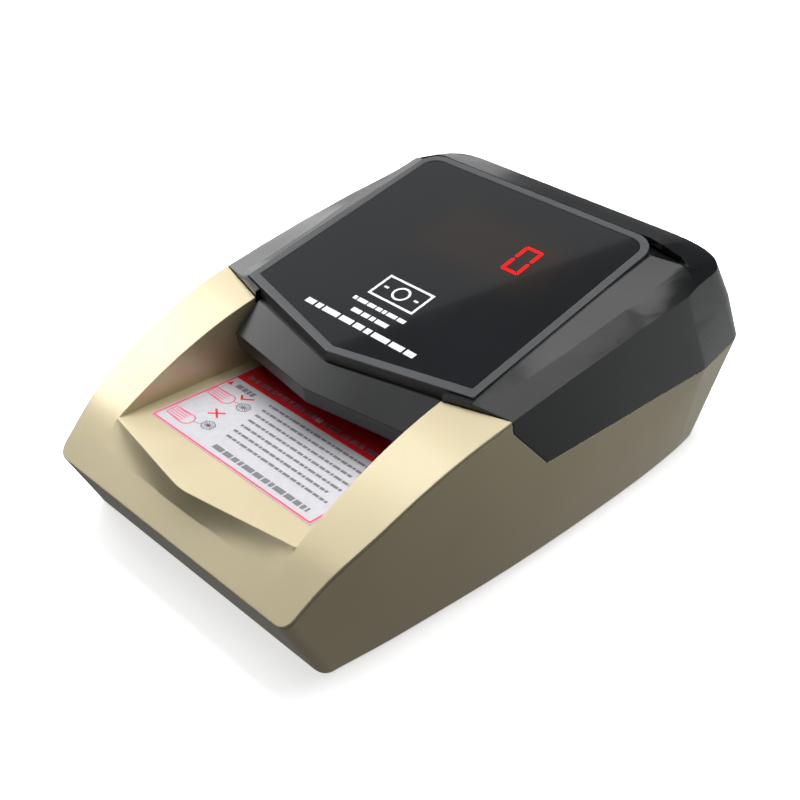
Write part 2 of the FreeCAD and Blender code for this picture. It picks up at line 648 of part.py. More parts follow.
def make_lower_guide():
    plate = box(-GUIDE_HALF, GUIDE_HALF, GUIDE_FRONT_Y, GUIDE_REAR_Y, PATH_Z - GUIDE_THICK, PATH_Z)
    reach = math.sqrt(DRIVE_R ** 2 - (DRIVE_R - DRIVE_PROUD - GUIDE_THICK) ** 2) + 1.0
    for y in (FRONT_FEED_Y, REAR_FEED_Y):
        for cut in roller_windows(y, reach, 0, 60):
            plate = plate.cut(cut)
    plate = plate.cut(box(-34.2, 34.2, 116.8, 125.2, 0, 60))
    plate = plate.cut(box(-30.2, 30.2, 145.8, 151.2, 0, 60))
    skirt = box(GUIDE_HALF - WALL, GUIDE_HALF, 88, 176, PATH_Z - 6.0, PATH_Z - GUIDE_THICK)
    for side in both_sides(skirt):
        clear = side.cut(rod_x(SHAFT_R + 1.0, -60, 60, FRONT_FEED_Y, DRIVE_Z))
        plate = plate.fuse(clear.cut(rod_x(SHAFT_R + 1.0, -60, 60, REAR_FEED_Y, DRIVE_Z)))
    return plate


def make_upper_guide():
    low = PATH_Z + PATH_GAP
    half = GUIDE_HALF - 5
    plate = box(-half, half, NOSE_BACK_Y + 0.4, GUIDE_REAR_Y - 6, low, low + GUIDE_THICK)
    for y in (FRONT_FEED_Y, REAR_FEED_Y):
        for cut in roller_windows(y, PINCH_R, 0, 60):
            plate = plate.cut(cut)
        plate = plate.cut(box(-36.5, 36.5, y - 2.2, y + 2.2, 0, 60))
    return plate.cut(box(-34.2, 34.2, 116.8, 125.2, 0, 60))


def make_side_brackets():
    shapes = []
    for side in (-1, 1):
        x0, x1 = sorted((side * BRACKET_X, side * (BRACKET_X + BRACKET_THICK)))
        outline = [(90, FLOOR), (176, FLOOR), (176, 24), (171, BRACKET_TOP), (159, BRACKET_TOP),
                   (152, 20), (113, 20), (106, BRACKET_TOP), (94, BRACKET_TOP), (90, 25)]
        plate = prism_x(outline, x0, x1)
        for y in (FRONT_FEED_Y, REAR_FEED_Y):
            plate = plate.cut(rod_x(BUSH_R, x0 - 1, x1 + 1, y, DRIVE_Z))
        if side > 0:
            plate = plate.cut(rod_x(3.4, x0 - 1, x1 + 1, MOTOR_Y, MOTOR_Z))
        shapes.append(plate)
    return group(shapes)


def make_bushes():
    shapes = []
    for side in (-1, 1):
        x0, x1 = sorted((side * BRACKET_X, side * (BRACKET_X + BRACKET_THICK)))
        for y in (FRONT_FEED_Y, REAR_FEED_Y):
            shapes.append(tube_x(BUSH_R, SHAFT_R + SHAFT_FIT, x0, x1, y, DRIVE_Z))
    return group(shapes)


def make_rollers(radius, bore, y, z):
    shapes = []
    for side in (-1, 1):
        middle = side * ROLLER_X
        tyre = tube_x(radius, bore, middle - ROLLER_WIDTH / 2, middle + ROLLER_WIDTH / 2, y, z)
        for groove in (-3.0, 0.0, 3.0):
            ring = tube_x(radius + 1, radius - 0.6, middle + groove - 0.5, middle + groove + 0.5, y, z)
            tyre = tyre.cut(ring)
        shapes.append(tyre)
    return group(shapes)


def make_drive_shaft(y, left_end):
    shaft = rod_x(SHAFT_R, left_end, PULLEY_X + PULLEY_WIDTH + FLANGE * 2, y, DRIVE_Z)
    for side in (-1, 1):
        hub = rod_x(HUB_R, side * ROLLER_X - 7.0, side * ROLLER_X + 7.0, y, DRIVE_Z)
        shaft = shaft.fuse(hub)
    return shaft


def make_pulley(radius, bore, y, z):
    """Flanged toothed-belt pulley."""
    x1 = PULLEY_X + PULLEY_WIDTH
    body = rod_x(radius, PULLEY_X, x1, y, z)
    teeth = round(2 * math.pi * radius / 2.5)
    for index in range(teeth):
        angle = 2 * math.pi * index / teeth
        hole_y = y + radius * math.cos(angle)
        hole_z = z + radius * math.sin(angle)
        body = body.cut(rod_x(0.45, PULLEY_X, x1, hole_y, hole_z))
    for x in (PULLEY_X - FLANGE, x1):
        body = body.fuse(rod_x(radius + FLANGE, x, x + FLANGE, y, z))
    return body.cut(rod_x(bore, PULLEY_X - 5, x1 + 5, y, z))


def belt_face(grow):
    """Area inside a belt round the three pulleys, drawn out by grow."""
    circles = [
        (MOTOR_Y, MOTOR_Z, MOTOR_PULLEY_R + grow),
        (REAR_FEED_Y, DRIVE_Z, FEED_PULLEY_R + grow),
        (FRONT_FEED_Y, DRIVE_Z, FEED_PULLEY_R + grow),
    ]
    arrivals = []
    departures = []
    for index, (ay, az, ar) in enumerate(circles):
        by, bz, br = circles[(index + 1) % 3]
        span = math.hypot(by - ay, bz - az)
        heading = math.atan2(bz - az, by - ay)
        normal = heading - math.pi / 2 + math.asin((ar - br) / span)
        departures.append(normal)
        arrivals.append(normal)
    edges = []
    for index, (ay, az, ar) in enumerate(circles):
        start = arrivals[index - 1]
        end = departures[index]
        while end < start:
            end += 2 * math.pi
        middle = (start + end) / 2

        def rim(angle, centre_y=ay, centre_z=az, radius=ar):
            return Vector(0, centre_y + radius * math.cos(angle), centre_z + radius * math.sin(angle))

        edges.append(Part.Arc(rim(start), rim(middle), rim(end)).toShape())
        by, bz, br = circles[(index + 1) % 3]
        edges.append(Part.makeLine(rim(end), rim(end, by, bz, br)))
    return Part.Face(Part.Wire(edges))


def make_belt():
    width = PULLEY_WIDTH - 0.8
    loop = belt_face(BELT_GAP + BELT_THICK).extrude(Vector(width, 0, 0))
    loop = loop.cut(belt_face(BELT_GAP).extrude(Vector(width, 0, 0)))
    loop.translate(Vector(PULLEY_X + 0.4, 0, 0))
    return loop


def make_encoder_disc():
    x0 = -BRACKET_X - BRACKET_THICK - 3.2
    disc = tube_x(8.0, SHAFT_R, x0, x0 + 0.8, FRONT_FEED_Y, DRIVE_Z)
    for index in range(12):
        angle = math.radians(index * 30)
        y = FRONT_FEED_Y + 6.2 * math.cos(angle)
        z = DRIVE_Z + 6.2 * math.sin(angle)
        disc = disc.cut(rod_x(0.8, x0 - 1, x0 + 2, y, z))
    return disc


def make_encoder_sensor():
    x0 = -BRACKET_X - BRACKET_THICK - 6.0
    body = box(x0, x0 + 6.0, FRONT_FEED_Y - 3, FRONT_FEED_Y + 3, 10.0, DRIVE_Z - 5.2)
    slot = box(x0 + 1.9, x0 + 4.5, FRONT_FEED_Y - 4, FRONT_FEED_Y + 4, DRIVE_Z - 10.0, DRIVE_Z)
    return body.cut(slot)


def make_motor():
    x1 = BRACKET_X - 0.05
    can = rod_x(MOTOR_R, x1 - MOTOR_LENGTH, x1, MOTOR_Y, MOTOR_Z)
    boss = rod_x(3.3, x1, x1 + 2.0, MOTOR_Y, MOTOR_Z)
    cap = rod_x(5.0, x1 - MOTOR_LENGTH - 2.0, x1 - MOTOR_LENGTH, MOTOR_Y, MOTOR_Z)
    flats = box(-10, 60, MOTOR_Y - 20, MOTOR_Y + 20, MOTOR_Z - 10.6, MOTOR_Z + 10.6)
    bore = rod_x(MOTOR_SHAFT_R + SHAFT_FIT, 20, 60, MOTOR_Y, MOTOR_Z)
    return can.common(flats).fuse(boss).fuse(cap).cut(bore)


def make_cells():
    shapes = []
    for y in CELL_YS:
        cell = rod_x(CELL_R, -CELL_LENGTH / 2, CELL_LENGTH / 2, y, CELL_Z)
        button = rod_x(3.0, CELL_LENGTH / 2, CELL_LENGTH / 2 + 1.2, y, CELL_Z)
        shapes.append(cell.fuse(button))
    return group(shapes)


def make_cell_holder():
    y0 = CELL_YS[0] - CELL_R - 1.6
    y1 = CELL_YS[1] + CELL_R + 1.6
    half = CELL_LENGTH / 2 + 3.2
    outer = box(-half, half, y0, y1, FLOOR + 0.4, CELL_Z + 4.0)
    well = box(-half + 1.6, half - 1.6, y0 + 1.2, y1 - 1.2, FLOOR + 0.4 - 1, CELL_Z + 5.0)
    ribs = box(-1.5, 1.5, y0, y1, FLOOR + 0.4, CELL_Z - 5.0)
    frame = outer.cut(well).fuse(ribs.fuse(box(20, 23, y0, y1, FLOOR + 0.4, CELL_Z - 5.0)))
    for y in CELL_YS:
        frame = frame.cut(rod_x(CELL_R + 0.1, -half + 1.6, half - 1.6, y, CELL_Z))
    return frame


def make_speaker():
    z0 = FLOOR + 0.1
    frame = rod_z(SPEAKER_R, 0, SPEAKER_Y, z0, z0 + 3.0)
    frame = frame.cut(Part.makeCone(11.5, 5.0, 2.4, Vector(0, SPEAKER_Y, z0), Vector(0, 0, 1)))
    magnet = rod_z(7.0, 0, SPEAKER_Y, z0 + 3.0, z0 + 7.5)
    return frame.fuse(magnet)


def make_port_plate():
    plate = box(PORT_FACE_X, PORT_FACE_X + 2.0, PORT_Y[0], PORT_Y[1], PORT_Z[0], PORT_Z[1])
    half_z = ROCKER_SIZE[0] / 2 + 1.0
    half_y = ROCKER_SIZE[1] / 2 + 1.0
    plate = plate.cut(box(-80, -50, ROCKER_Y - half_y, ROCKER_Y + half_y,
                          PORT_MID_Z - half_z, PORT_MID_Z + half_z))
    plate = plate.cut(rod_x(JACK_R, -80, -50, JACK_Y, PORT_MID_Z))
    return plate.cut(rod_x(BUTTON_R + 0.25, -80, -50, BUTTON_Y, PORT_MID_Z))


def make_rocker_housing():
    half_z = ROCKER_SIZE[0] / 2 + 1.0
    half_y = ROCKER_SIZE[1] / 2 + 1.0
    body = box(PORT_FACE_X - 0.6, PORT_FACE_X + 12.0, ROCKER_Y - half_y, ROCKER_Y + half_y,
               PORT_MID_Z - half_z, PORT_MID_Z + half_z)
    well = box(PORT_FACE_X - 2, PORT_FACE_X + 7.0, ROCKER_Y - half_y + 0.8, ROCKER_Y + half_y - 0.8,
               PORT_MID_Z - half_z + 0.8, PORT_MID_Z + half_z - 0.8)
    pivot_holes = rod_z(ROCKER_PIVOT_R + SHAFT_FIT, ROCKER_PIVOT_X, ROCKER_Y,
                        PORT_MID_Z - half_z - 1, PORT_MID_Z + half_z + 1)
    return body.cut(well).cut(pivot_holes)


def make_rocker():
    """Rocker paddle, drawn tilted to its on position."""
    half_y = ROCKER_SIZE[1] / 2
    half_z = ROCKER_SIZE[0] / 2
    pivot_x = ROCKER_PIVOT_X
    profile = [(pivot_x - 3.4, -half_y + 0.5), (pivot_x - 2.6, 0.0), (pivot_x - 3.4, half_y - 0.5),
               (pivot_x + 0.6, half_y - 0.9), (pivot_x + 2.0, 0.0), (pivot_x + 0.6, 0.9 - half_y)]
    low = PORT_MID_Z - half_z
    wire = Part.makePolygon([Vector(x, ROCKER_Y + y, low) for x, y in profile + profile[:1]])
    paddle = Part.Face(wire).extrude(Vector(0, 0, ROCKER_SIZE[0]))
    paddle.rotate(Vector(pivot_x, ROCKER_Y, 0), Vector(0, 0, 1), ROCKER_TILT)
    reach = half_z + 1.0
    return paddle.fuse(rod_z(ROCKER_PIVOT_R, pivot_x, ROCKER_Y, PORT_MID_Z - reach, PORT_MID_Z + reach))


def make_jack():
    body = rod_x(JACK_R - 0.1, PORT_FACE_X - 0.4, PORT_FACE_X + 11.0, JACK_Y, PORT_MID_Z)
    body = body.cut(rod_x(JACK_BORE_R, PORT_FACE_X - 2, PORT_FACE_X + 9.5, JACK_Y, PORT_MID_Z))
    pin = rod_x(1.0, PORT_FACE_X + 1.0, PORT_FACE_X + 10.0, JACK_Y, PORT_MID_Z)
    return body.fuse(pin)


def make_button():
    cap = rod_x(BUTTON_R, PORT_FACE_X - 1.4, PORT_FACE_X + 3.0, BUTTON_Y, PORT_MID_Z)
    collar = rod_x(BUTTON_R + 1.2, PORT_FACE_X + 2.4, PORT_FACE_X + 3.6, BUTTON_Y, PORT_MID_Z)
    return cap.fuse(collar)


def make_button_switch():
    x0 = PORT_FACE_X + 5.2
    body = box(x0, x0 + 3.6, BUTTON_Y - 3, BUTTON_Y + 3, PORT_MID_Z - 3, PORT_MID_Z + 3)
    board = box(x0 + 3.6, x0 + 5.0, BUTTON_Y - 6, BUTTON_Y + 6, PORT_MID_Z - 8, PORT_MID_Z + 6)
    return body.fuse(board)


def make_power_parts():
    shapes = [
        rod_z(4.0, -30, 155, 8.7, 15.5),
        rod_z(4.0, -19.5, 155, 8.7, 15.5),
        box(-8, 6, 150, 162, 8.7, 11.2),
        box(14, 24, 150, 164, 8.7, 14.0),
        rod_z(2.6, 31, 155, 8.7, 14.0),
    ]
    return group(shapes)


def on_panel(x0, x1, y0, y1, top, bottom):
    """Block parallel to the display panel, between two depths under it."""
    return box(x0, x1, y0, y1, 0, 120).common(panel_slab(top, bottom))


def make_display_parts():
    shapes = []
    for x, y, size in ((-24, 112, 12), (-2, 106, 9), (22, 104, 7)):
        shapes.append(on_panel(x - size / 2, x + size / 2, y - size / 2, y + size / 2, 10.6, 11.9))
    return group(shapes)


def make_digit_modules():
    shapes = []
    w, d = DIGIT_SIZE
    for x in DIGIT_XS:
        shapes.append(on_panel(x - w / 2, x + w / 2, DISPLAY_Y - d / 2, DISPLAY_Y + d / 2, 2.6, 9.0))
    return group(shapes)


def make_feet():
    shapes = []
    for x, y in FOOT_SPOTS:
        for side in (-1, 1):
            shapes.append(rod_z(FOOT_R, side * x, y, -FOOT_HEIGHT, 0.0))
    return group(shapes)


def make_screws():
    """Self-tapping screws through the floor into the inner frame."""
    shapes = []
    for x, y in SCREW_SPOTS:
        for side in (-1, 1):
            stem = rod_z(1.4, side * x, y, -0.2, FLOOR + 6.0)
            head = rod_z(2.9, side * x, y, -1.2, -0.05)
            slot = box(side * x - 2.0, side * x + 2.0, y - 0.35, y + 0.35, -2.0, -0.8)
            shapes.append(stem.fuse(head).cut(slot))
    return group(shapes)


def make_hinge_pins():
    shapes = []
    for side in (-1, 1):
        x0, x1 = sorted((side * 50.2, side * 59.8))
        shapes.append(rod_x(PIN_R, x0, x1, HINGE_Y, HINGE_Z))
    return group(shapes)


def make_label():
    """Instruction label on the tray floor."""
    thick = 0.12
    plate = box(-37.5, 37.5, 25.0, 72.0, 0, 90)
    layer = below_tray(-0.02 - thick).cut(below_tray(-0.02))
    return plate.common(layer)


def make_magnetic_heads():
    shapes = []
    for x in (-20.0, 0.0, 20.0):
        shapes.append(box(x - 7, x + 7, 146.2, 150.8, PATH_Z - 9.0, PATH_Z + 0.3))
    return group(shapes)


def make_lens(z0, z1):
    return box(-34, 34, 117, 125, z0, z1)


def pinch_holders():
    """Hooked arms on the upper guide that carry the pinch shafts."""
    arms = []
    low = PATH_Z + PATH_GAP + GUIDE_THICK
    for y in (FRONT_FEED_Y, REAR_FEED_Y):
        for x in (-37.4, -13.0, 13.0, 37.4):
            arm = box(x - 0.8, x + 0.8, y - 4.0, y + 4.0, low - 0.6, low + 6.5)
            arms.append(arm.cut(rod_x(PINCH_SHAFT_R + SHAFT_FIT, x - 2, x + 2, y, PINCH_Z)))
    return arms


def build():
    outer = body_block()
    inner = inset_block(outer, WALL)
    deck_inner = inset_block(outer, WALL + SEAM)
    parts = {}
    parts["base_shell"] = make_base_shell(outer, inner)
    parts["front_cover"] = make_front_cover(outer, deck_inner)
    parts["tray_label"] = make_label()
    parts["rear_cover"] = make_rear_cover(outer, inner)
    parts["display_bezel"] = make_bezel()
    parts["display_window"] = make_window()
    parts["nose_hood"] = make_nose()
    guide = make_upper_guide()
    for arm in pinch_holders():
        guide = guide.fuse(arm)
    parts["upper_guide"] = guide
    parts["lower_guide"] = make_lower_guide()
    parts["side_brackets"] = make_side_brackets()
    parts["shaft_bushes"] = make_bushes()
    parts["front_drive_shaft"] = make_drive_shaft(FRONT_FEED_Y, -BRACKET_X - BRACKET_THICK - 5.0)
    parts["front_drive_rollers"] = make_rollers(DRIVE_R, HUB_R, FRONT_FEED_Y, DRIVE_Z)
    parts["front_pulley"] = make_pulley(FEED_PULLEY_R, SHAFT_R, FRONT_FEED_Y, DRIVE_Z)
    parts["encoder_disc"] = make_encoder_disc()
    parts["encoder_sensor"] = make_encoder_sensor()
    parts["rear_drive_shaft"] = make_drive_shaft(REAR_FEED_Y, -BRACKET_X - BRACKET_THICK - 1.5)
    parts["rear_drive_rollers"] = make_rollers(DRIVE_R, HUB_R, REAR_FEED_Y, DRIVE_Z)
    parts["rear_pulley"] = make_pulley(FEED_PULLEY_R, SHAFT_R, REAR_FEED_Y, DRIVE_Z)
    parts["motor"] = make_motor()
    shaft_end = PULLEY_X + PULLEY_WIDTH + FLANGE + 0.6
    parts["motor_shaft"] = rod_x(MOTOR_SHAFT_R, 24.0, shaft_end, MOTOR_Y, MOTOR_Z)
    parts["motor_pulley"] = make_pulley(MOTOR_PULLEY_R, MOTOR_SHAFT_R, MOTOR_Y, MOTOR_Z)
    parts["drive_belt"] = make_belt()
    for name, y in (("front", FRONT_FEED_Y), ("rear", REAR_FEED_Y)):
        parts[name + "_pinch_shaft"] = rod_x(PINCH_SHAFT_R, -39.5, 39.5, y, PINCH_Z)
        parts[name + "_pinch_rollers"] = make_rollers(PINCH_R, PINCH_SHAFT_R, y, PINCH_Z)
    parts["lower_sensor_lens"] = make_lens(PATH_Z - 1.6, PATH_Z - 0.1)
    parts["upper_sensor_lens"] = make_lens(PATH_Z + PATH_GAP + 0.1, PATH_Z + PATH_GAP + 1.6)
    parts["lower_sensor_board"] = box(-36, 36, 115.5, 126.5, PATH_Z - 5.2, PATH_Z - 3.8)
    roof = PATH_Z + PATH_GAP
    parts["upper_sensor_board"] = box(-36, 36, 115.5, 126.5, roof + 3.0, roof + 4.4)
    parts["magnetic_heads"] = make_magnetic_heads()
    parts["display_board"] = on_panel(-42, 42, 92, 158, 9.0, 10.6)
    parts["display_components"] = make_display_parts()
    parts["digit_modules"] = make_digit_modules()
    parts["power_board"] = box(-40, 36, 147, 172, 7.1, 8.7)
    pillars = [rod_z(2.0, x, y, FLOOR, 7.1) for x in (-36, 32) for y in (150, 169)]
    parts["board_standoffs"] = group(pillars)
    parts["power_components"] = make_power_parts()
    parts["battery_cells"] = make_cells()
    parts["battery_holder"] = make_cell_holder()
    parts["battery_door"] = box(-DOOR_HALF_X, DOOR_HALF_X, DOOR_Y[0], DOOR_Y[1], 0.1, FLOOR - 0.1)
    parts["speaker"] = make_speaker()
    parts["port_plate"] = make_port_plate()
    parts["rocker_housing"] = make_rocker_housing()
    parts["power_rocker"] = make_rocker()
    parts["power_jack"] = make_jack()
    parts["mode_button"] = make_button()
    parts["button_switch"] = make_button_switch()
    parts["hinge_pins"] = make_hinge_pins()
    parts["rubber_feet"] = make_feet()
    parts["base_screws"] = make_screws()
    return parts


def main():
    os.makedirs("parts", exist_ok=True)
    for name, shape in build().items():
        placed = shape.copy()
        placed.translate(Vector(0, -BODY_LENGTH / 2, FOOT_HEIGHT))
        placed.exportStep("parts/" + name + ".step")
        low = placed.BoundBox
        print(name, len(placed.Solids), placed.isValid(), round(placed.Volume),
              [round(v, 2) for v in (low.XMin, low.XMax, low.YMin, low.YMax, low.ZMin, low.ZMax)])


main()
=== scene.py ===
import json
import math

import bmesh
import bpy
from mathutils import Matrix, Vector


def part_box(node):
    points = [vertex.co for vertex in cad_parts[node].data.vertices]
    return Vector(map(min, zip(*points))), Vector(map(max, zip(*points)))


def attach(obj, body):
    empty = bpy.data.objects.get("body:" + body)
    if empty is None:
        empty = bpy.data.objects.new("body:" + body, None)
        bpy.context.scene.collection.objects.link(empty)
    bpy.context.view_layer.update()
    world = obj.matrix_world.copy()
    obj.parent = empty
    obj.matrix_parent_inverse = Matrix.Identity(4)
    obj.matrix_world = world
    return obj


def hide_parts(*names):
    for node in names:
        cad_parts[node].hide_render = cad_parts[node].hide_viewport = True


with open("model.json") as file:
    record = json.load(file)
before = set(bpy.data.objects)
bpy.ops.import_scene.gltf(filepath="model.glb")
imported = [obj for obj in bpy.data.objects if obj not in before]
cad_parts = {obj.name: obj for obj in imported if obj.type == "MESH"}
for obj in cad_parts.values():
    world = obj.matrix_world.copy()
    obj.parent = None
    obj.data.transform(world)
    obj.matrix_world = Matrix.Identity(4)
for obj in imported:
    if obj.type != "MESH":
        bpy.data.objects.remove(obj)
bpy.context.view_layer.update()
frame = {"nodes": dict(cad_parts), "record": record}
nodes = frame["nodes"]

MM = 0.001
ROUND_SEGMENTS = 3
FLAT_ANGLE = math.radians(0.03)      # neighbouring triangles of one flat face differ by less
CARD_DISTANCE = 1.4
PRODUCT_MIDDLE = Vector((0.0, 0.0, 0.04))
FLOOR_SIZE = 9.0
WALL_RADIUS = 8.5
WALL_HEIGHT = 12.0

# ---- camera: the viewing angle and distance of the product picture -------------
CAMERA_AT = Vector((0.22873, -0.2385, 0.26065))
CAMERA_AZIMUTH = math.radians(44.458)
CAMERA_ELEVATION = math.radians(35.919)
CAMERA_LENS = 53.1


# ---- node material helpers ---------------------------------------------------------

class Nodes:
    """A material's node tree with short calls for the nodes used here."""

    def __init__(self, name):
        self.material = bpy.data.materials.new(name)
        self.material.use_nodes = True
        self.tree = self.material.node_tree
        self.shader = self.tree.nodes["Principled BSDF"]
        self.place = self.add("ShaderNodeTexCoord").outputs["Object"]

    def add(self, kind, **settings):
        node = self.tree.nodes.new(kind)
        for key, value in settings.items():
            setattr(node, key, value)
        return node

    def link(self, source, target):
        self.tree.links.new(source, target)

    def set(self, **values):
        """Constant values on the shader's own sockets; underscores in a name stand for spaces."""
        for key, value in values.items():
            self.shader.inputs[key.replace("_", " ")].default_value = value

    def noise(self, scale, detail=3.0, rough=0.55, stretch=None):
        place = self.place
        if stretch:
            mapping = self.add("ShaderNodeMapping")
            mapping.inputs["Scale"].default_value = stretch
            self.link(place, mapping.inputs["Vector"])
            place = mapping.outputs["Vector"]
        node = self.add("ShaderNodeTexNoise")
        node.inputs["Scale"].default_value = scale
        node.inputs["Detail"].default_value = detail
        node.inputs["Roughness"].default_value = rough
        self.link(place, node.inputs["Vector"])
        return node.outputs["Fac"]

    def cells(self, scale):
        node = self.add("ShaderNodeTexVoronoi")
        node.inputs["Scale"].default_value = scale
        self.link(self.place, node.inputs["Vector"])
        return node

    def spread(self, value, low, high, start=0.3, end=0.7):
        node = self.add("ShaderNodeMapRange")
        node.inputs["From Min"].default_value = start
        node.inputs["From Max"].default_value = end
        node.inputs["To Min"].default_value = low
        node.inputs["To Max"].default_value = high
        self.link(value, node.inputs["Value"])
        return node.outputs["Result"]

    def blend(self, factor, first, second):
        """Colour mix; first and second are colours or sockets."""
        node = self.add("ShaderNodeMix", data_type="RGBA")
        if isinstance(factor, float):
            node.inputs["Factor"].default_value = factor
        else:
            self.link(factor, node.inputs["Factor"])
        for name, value in (("A", first), ("B", second)):
            sockets = [s for s in node.inputs if s.name == name and s.type == "RGBA"]
            if isinstance(value, tuple):
                sockets[0].default_value = (*value, 1.0)
            else:
                self.link(value, sockets[0])
        return [s for s in node.outputs if s.type == "RGBA"][0]

    def maths(self, operation, first, second):
        node = self.add("ShaderNodeMath", operation=operation)
        for index, value in enumerate((first, second)):
            if isinstance(value, (int, float)):
                node.inputs[index].default_value = value
            else:
                self.link(value, node.inputs[index])
        return node.outputs[0]

    def edge(self, radius):
        """Normal that rounds the edges of the piece by the radius."""
        node = self.add("ShaderNodeBevel", samples=6)
        node.inputs["Radius"].default_value = radius
        return node.outputs["Normal"]

    def bump(self, height, strength, depth, after=None):
        node = self.add("ShaderNodeBump")
        node.inputs["Strength"].default_value = strength
        node.inputs["Distance"].default_value = depth
        self.link(height, node.inputs["Height"])
        if after:
            self.link(after, node.inputs["Normal"])
        return node.outputs["Normal"]

    def colour(self, socket):
        self.link(socket, self.shader.inputs["Base Color"])

    def rough(self, socket):
        self.link(socket, self.shader.inputs["Roughness"])

    def normal(self, socket):
        self.link(socket, self.shader.inputs["Normal"])


def moulded(name, tone, other, roughness, grain=0.05, grain_scale=2600.0, coat=0.0, edge=0.0002):
    """Moulded plastic: slightly clouded colour, fine grain and handling marks in the gloss."""
    n = Nodes(name)
    n.set(Coat_Weight=coat, Coat_Roughness=0.14)
    clouds = n.noise(38.0, 4.0)
    n.colour(n.blend(n.spread(clouds, 0.0, 1.0), tone, other))
    marks = n.noise(70.0, 2.5, 0.5, (1.0, 0.25, 1.0))
    n.rough(n.spread(marks, roughness - 0.02, roughness + 0.04))
    fine = n.bump(n.noise(grain_scale, 2.0), grain, 0.00006, n.edge(edge))
    n.normal(n.bump(n.noise(45.0, 1.0), 0.004, 0.0004, fine))
    return n.material


def champagne():
    """Metallic champagne paint on plastic: flakes, a clear satin coat and faint orange peel."""
    n = Nodes("champagne_paint")
    n.set(Metallic=0.42, Coat_Weight=0.35, Coat_Roughness=0.14)
    flakes = n.cells(5200.0)
    clouds = n.noise(30.0, 3.0)
    base = n.blend(n.spread(clouds, 0.0, 1.0), (0.665, 0.570, 0.355), (0.695, 0.600, 0.380))
    tint = n.spread(flakes.outputs["Color"], 0.0, 0.22, 0.2, 1.0)
    n.colour(n.blend(tint, base, (0.78, 0.73, 0.57)))
    n.rough(n.spread(n.noise(90.0, 5.0, 0.65), 0.31, 0.39))
    peel = n.bump(n.noise(900.0, 2.0), 0.05, 0.00008, n.edge(0.0006))
    n.normal(n.bump(flakes.outputs["Distance"], 0.06, 0.00004, peel))
    return n.material


def steel(name, tone, roughness, stretch):
    """Metal with fine drawn lines along one direction."""
    n = Nodes(name)
    n.set(Metallic=1.0)
    lines = n.noise(900.0, 4.0, 0.7, stretch)
    dark = tuple(c * 0.82 for c in tone)
    n.colour(n.blend(n.spread(lines, 0.0, 1.0), tone, dark))
    n.rough(n.spread(n.noise(220.0, 4.0), roughness - 0.06, roughness + 0.08))
    n.normal(n.bump(lines, 0.05, 0.00005))
    return n.material


def rubber(name, tone, roughness):
    n = Nodes(name)
    n.set(Specular_IOR_Level=0.3)
    dust = tuple(min(1.0, c * 1.9 + 0.015) for c in tone)
    n.colour(n.blend(n.spread(n.noise(260.0, 5.0, 0.7), 0.0, 0.6), tone, dust))
    n.rough(n.spread(n.noise(400.0, 3.0), roughness - 0.05, roughness + 0.05))
    n.normal(n.bump(n.noise(3200.0, 2.0), 0.12, 0.00008))
    return n.material


def smoked_acrylic():
    """Polished dark pane, warmer over the display modules behind it, with faint wipe marks."""
    n = Nodes("smoked_acrylic")
    n.set(IOR=1.49, Coat_Weight=0.35, Coat_Roughness=0.02, Specular_IOR_Level=0.55)
    split = n.add("ShaderNodeSeparateXYZ")
    n.link(n.place, split.inputs[0])
    low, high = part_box("digit_modules")
    spans = []
    for axis, margin in ((0, 0.007), (1, 0.004)):
        middle = (low[axis] + high[axis]) / 2
        half = (high[axis] - low[axis]) / 2 + margin
        away = n.maths("ABSOLUTE", n.maths("SUBTRACT", split.outputs[axis], middle), 0.0)
        spans.append(n.spread(away, 1.0, 0.0, half - 0.004, half + 0.006))
    inside = n.maths("MULTIPLY", spans[0], spans[1])
    pane = n.blend(n.spread(n.noise(22.0, 2.0), 0.0, 1.0), (0.0105, 0.0120, 0.0135), (0.0125, 0.0142, 0.0160))
    n.colour(n.blend(n.maths("MULTIPLY", inside, 0.8), pane, (0.021, 0.016, 0.013)))
    n.rough(n.spread(n.noise(75.0, 6.0, 0.7, (1.0, 0.3, 1.0)), 0.045, 0.085))
    n.normal(n.bump(n.noise(14.0, 1.0), 0.015, 0.0004))
    return n.material


def printed(name, tone, roughness=0.45):
    """Screen-printed ink: nearly even, with a slight mesh texture."""
    n = Nodes(name)
    lighter = tuple(min(1.0, c * 1.06 + 0.004) for c in tone)
    n.colour(n.blend(n.spread(n.noise(900.0, 2.0), 0.0, 1.0), tone, lighter))
    n.rough(n.spread(n.noise(500.0, 2.0), roughness - 0.04, roughness + 0.04))
    n.normal(n.bump(n.noise(2600.0, 1.0), 0.03, 0.00002))
    return n.material


def label_film():
    """Pale satin label film with a soft silvery mottle."""
    n = Nodes("label_film")
    n.set(Coat_Weight=0.25, Coat_Roughness=0.18)
    mottle = n.noise(420.0, 6.0, 0.75)
    n.colour(n.blend(n.spread(mottle, 0.0, 1.0), (0.50, 0.50, 0.53), (0.57, 0.57, 0.60)))
    n.rough(n.spread(n.noise(80.0, 3.0), 0.3, 0.42))
    n.normal(n.bump(n.noise(120.0, 3.0), 0.04, 0.0001))
    return n.material


def lit_segment():
    n = Nodes("lit_segment")
    n.set(Base_Color=(0.05, 0.0, 0.0, 1.0), Emission_Strength=1.7, Roughness=0.4, Specular_IOR_Level=0.1)
    glow = n.blend(n.spread(n.noise(700.0, 2.0), 0.0, 1.0), (1.0, 0.0, 0.0), (0.92, 0.004, 0.002))
    n.link(glow, n.shader.inputs["Emission Color"])
    return n.material


def clear_lens():
    n = Nodes("clear_lens")
    n.set(Transmission_Weight=0.75, IOR=1.5)
    n.colour(n.blend(n.spread(n.noise(120.0), 0.0, 1.0), (0.35, 0.38, 0.42), (0.42, 0.45, 0.5)))
    n.rough(n.spread(n.noise(200.0, 4.0), 0.05, 0.14))
    return n.material


